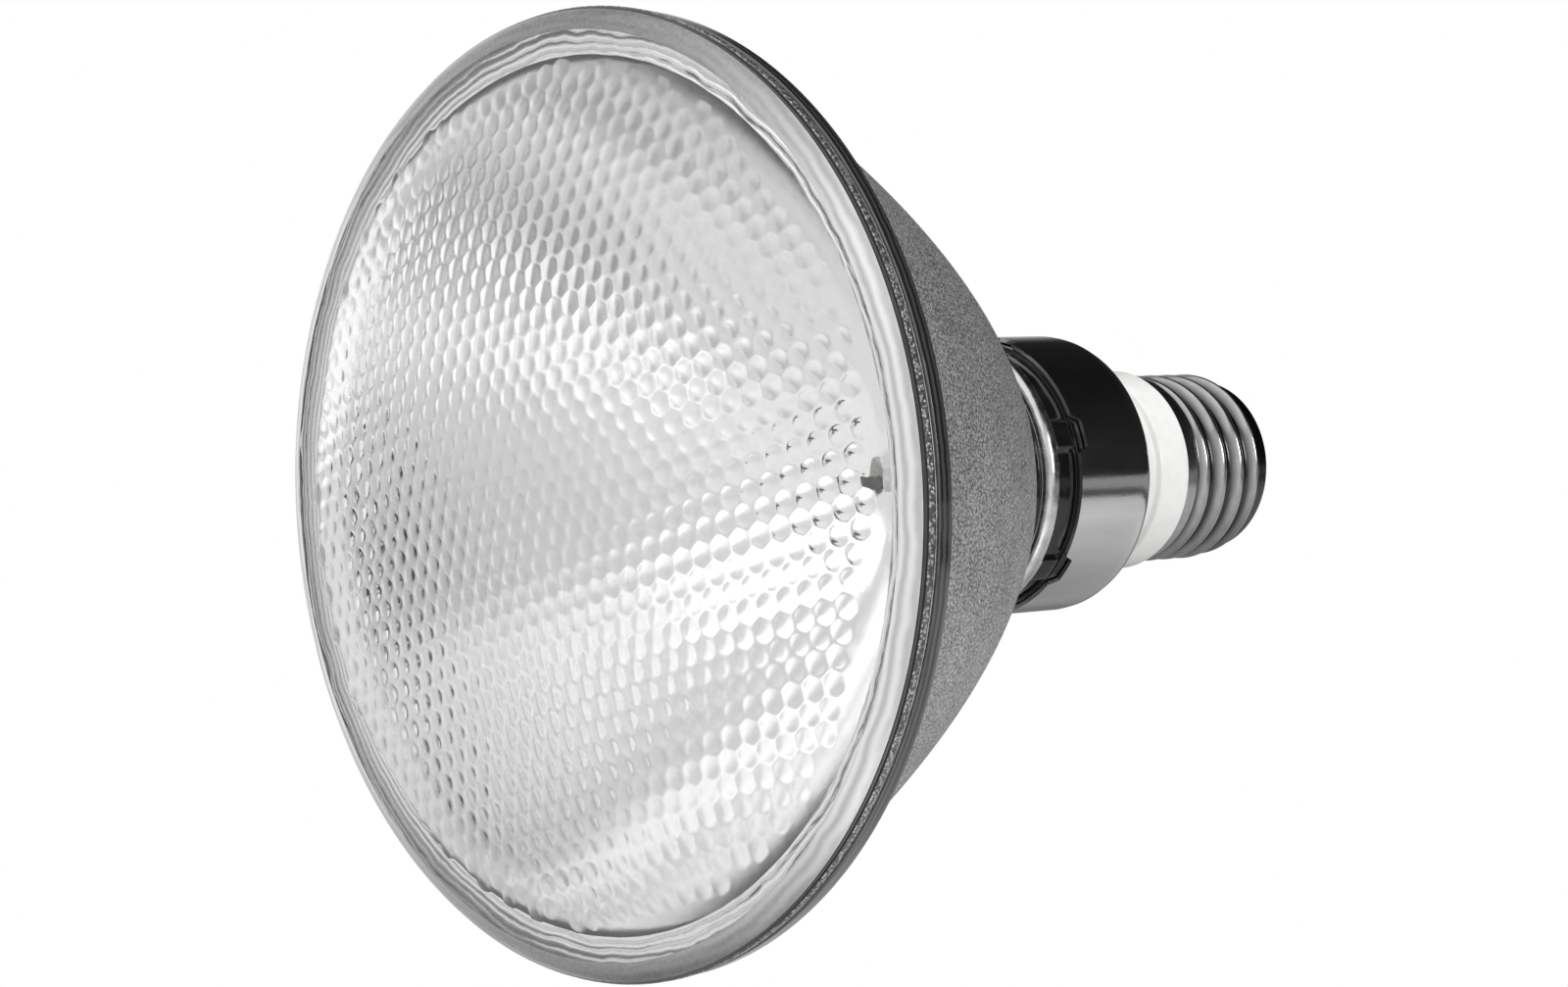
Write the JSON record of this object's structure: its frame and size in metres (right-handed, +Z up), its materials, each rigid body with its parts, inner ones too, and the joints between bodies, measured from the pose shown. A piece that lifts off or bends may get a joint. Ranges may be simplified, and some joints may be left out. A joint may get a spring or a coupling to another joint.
{
  "type": "par spotlight bulb",
  "caption": "Reflector spotlight lamp: domed dimpled glass lens, paraboloid glass bowl, metal skirt, white ceramic collar and medium screw cap.",
  "frame": {"origin": "on the lamp's axis, in the plane of the screw shell's open rim, next to the ceramic collar", "axes": "+Y along the lamp's axis, from the lens to the centre contact; +Z up, square to the axis"},
  "size_m": [0.121, 0.1309, 0.121],
  "materials": {
    "pressed_glass": "clear pressed glass",
    "aluminised_glass": "pressed glass with an evaporated aluminium mirror inside",
    "drawn_aluminium": "polished",
    "porcelain": "fired white",
    "nickelled_brass": "nickel plated",
    "tungsten": "drawn and coiled",
    "nickel_wire": "drawn",
    "sealing_alloy": "pressed cup",
    "solder": "tin solder",
    "copper_wire": "tinned copper",
    "glass_sleeving": "woven glass fibre",
    "basing_cement": "baked",
    "black_glass": "opaque black glass",
    "contact_brass": "bare"
  },
  "bodies": {
    "root": {"lens": "pressed_glass", "reflector": "aluminised_glass", "skirt": "drawn_aluminium", "ceramic_collar": "porcelain", "screw_shell": "nickelled_brass", "tip_insulator": "black_glass", "centre_contact": "contact_brass", "contact_solder": "solder", "basing_cement": "basing_cement", "filament": "tungsten", "exhaust_tip": "pressed_glass", "contact_wire": "copper_wire", "wire_sleeve": "glass_sleeving", "shell_wire": "copper_wire", "lead_post_left": "nickel_wire", "lead_post_right": "nickel_wire", "ferrule_left": "sealing_alloy", "ferrule_right": "sealing_alloy", "ferrule_solder_left": "solder", "ferrule_solder_right": "solder"}
  },
  "joints": []
}
